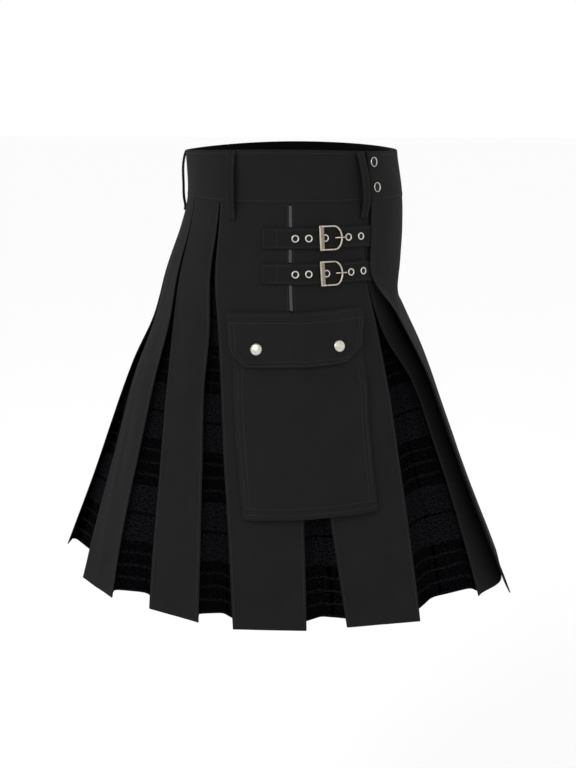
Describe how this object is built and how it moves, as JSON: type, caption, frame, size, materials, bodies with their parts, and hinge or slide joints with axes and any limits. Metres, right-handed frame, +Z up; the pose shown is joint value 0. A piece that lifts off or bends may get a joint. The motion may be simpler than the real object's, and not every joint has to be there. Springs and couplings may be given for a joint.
{
  "type": "utility kilt",
  "caption": "Knee-length utility kilt in worn form: black cotton strips over folded dark tartan insets, wrap-over apron, buckled straps and a cargo pocket.",
  "frame": {"origin": "centre of the waist opening, in the plane of the waistband's top edge, where the wearer's waist holds the kilt", "axes": "+Z up out of the waist, -Y to the wearer's front, -X to the wearer's right side"},
  "size_m": [0.5492, 0.6365, 0.5937],
  "materials": {
    "black_cotton": "matt black cotton twill",
    "strap_cotton": "matt black cotton twill strap, double layer",
    "tartan": "coarse black and charcoal tartan weave",
    "old_brass": "antique brass, satin with dark recesses",
    "antique_nickel": "antique nickel, satin"
  },
  "bodies": {
    "root": {"waistband": "black_cotton", "strip_back_centre": "black_cotton", "strip_right_1": "black_cotton", "strip_left_1": "black_cotton", "strip_right_2": "black_cotton", "strip_left_2": "black_cotton", "strip_right_3": "black_cotton", "strip_left_3": "black_cotton", "strip_right_4": "black_cotton", "strip_left_4": "black_cotton", "apron": "black_cotton", "under_apron": "black_cotton", "tartan_right_0": "tartan", "tartan_left_0": "tartan", "tartan_right_1": "tartan", "tartan_left_1": "tartan", "tartan_right_2": "tartan", "tartan_left_2": "tartan", "tartan_right_3": "tartan", "tartan_left_3": "tartan", "tartan_right_4": "tartan", "tartan_left_4": "tartan", "belt_loop_back": "black_cotton", "belt_loop_right_side": "black_cotton", "belt_loop_right_front": "black_cotton", "belt_loop_left_side": "black_cotton", "belt_loop_left_front": "black_cotton", "strap_upper": "strap_cotton", "strap_upper_eyelet_1": "antique_nickel", "strap_upper_eyelet_2": "antique_nickel", "strap_upper_eyelet_3": "antique_nickel", "strap_upper_eyelet_4": "antique_nickel", "strap_upper_eyelet_5": "antique_nickel", "strap_upper_buckle": "old_brass", "strap_upper_tongue": "old_brass", "strap_lower": "strap_cotton", "strap_lower_eyelet_1": "antique_nickel", "strap_lower_eyelet_2": "antique_nickel", "strap_lower_eyelet_3": "antique_nickel", "strap_lower_eyelet_4": "antique_nickel", "strap_lower_eyelet_5": "antique_nickel", "strap_lower_buckle": "old_brass", "strap_lower_tongue": "old_brass", "band_snap_1": "antique_nickel", "band_snap_2": "antique_nickel", "pocket": "black_cotton", "pocket_flap": "black_cotton", "pocket_snap_1": "antique_nickel", "pocket_snap_2": "antique_nickel"}
  },
  "joints": []
}
